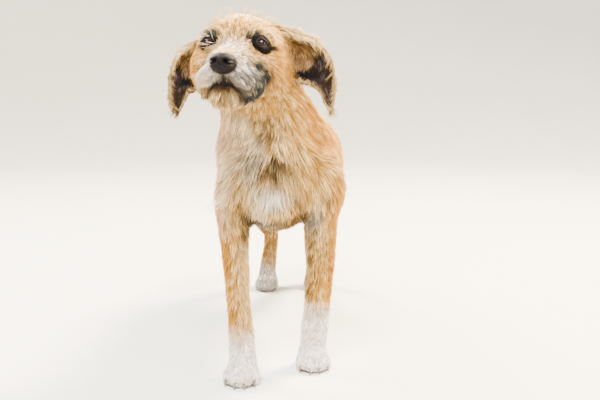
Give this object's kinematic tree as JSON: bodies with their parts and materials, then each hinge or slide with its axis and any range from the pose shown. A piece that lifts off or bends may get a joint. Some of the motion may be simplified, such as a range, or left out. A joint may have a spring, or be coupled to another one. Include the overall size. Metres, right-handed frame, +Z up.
{
  "type": "dog",
  "caption": "Small wire-haired terrier cross, a still life-size figure standing with its head raised and turned aside.",
  "frame": {"origin": "on the floor, under the middle of the bounding box", "axes": "-Y the way the body faces, +Z up, +X to the dog's left"},
  "size_m": [0.2408, 0.6538, 0.4711],
  "materials": {
    "coat_tan": "rough wiry hair",
    "coat_cream": "rough wiry hair",
    "coat_white": "short rough hair",
    "ear_brown": "thin short hair over dark skin",
    "nose_leather": "moist, pebbled",
    "eye_dark": "wet and glossy",
    "claw_horn": "worn horn"
  },
  "bodies": {
    "root": {"chest": "coat_cream", "claw_fore_left_1": "claw_horn", "claw_fore_left_2": "claw_horn", "claw_fore_left_3": "claw_horn", "claw_fore_left_4": "claw_horn", "claw_fore_right_1": "claw_horn", "claw_fore_right_2": "claw_horn", "claw_fore_right_3": "claw_horn", "claw_fore_right_4": "claw_horn", "claw_hind_left_1": "claw_horn", "claw_hind_left_2": "claw_horn", "claw_hind_left_3": "claw_horn", "claw_hind_left_4": "claw_horn", "claw_hind_right_1": "claw_horn", "claw_hind_right_2": "claw_horn", "claw_hind_right_3": "claw_horn", "claw_hind_right_4": "claw_horn", "ear_left": "ear_brown", "ear_right": "ear_brown", "eye_left": "eye_dark", "eye_right": "eye_dark", "forearm_left": "coat_tan", "forearm_right": "coat_tan", "forepaw_left": "coat_white", "forepaw_right": "coat_white", "head": "coat_cream", "hindpaw_left": "coat_white", "hindpaw_right": "coat_white", "hindquarters": "coat_tan", "lower_jaw": "coat_cream", "neck": "coat_tan", "nose": "nose_leather", "shank_left": "coat_tan", "shank_right": "coat_tan", "shoulder_left": "coat_tan", "shoulder_right": "coat_tan", "tail_base": "coat_tan", "tail_tip": "coat_cream", "thigh_left": "coat_tan", "thigh_right": "coat_tan"}
  },
  "joints": []
}
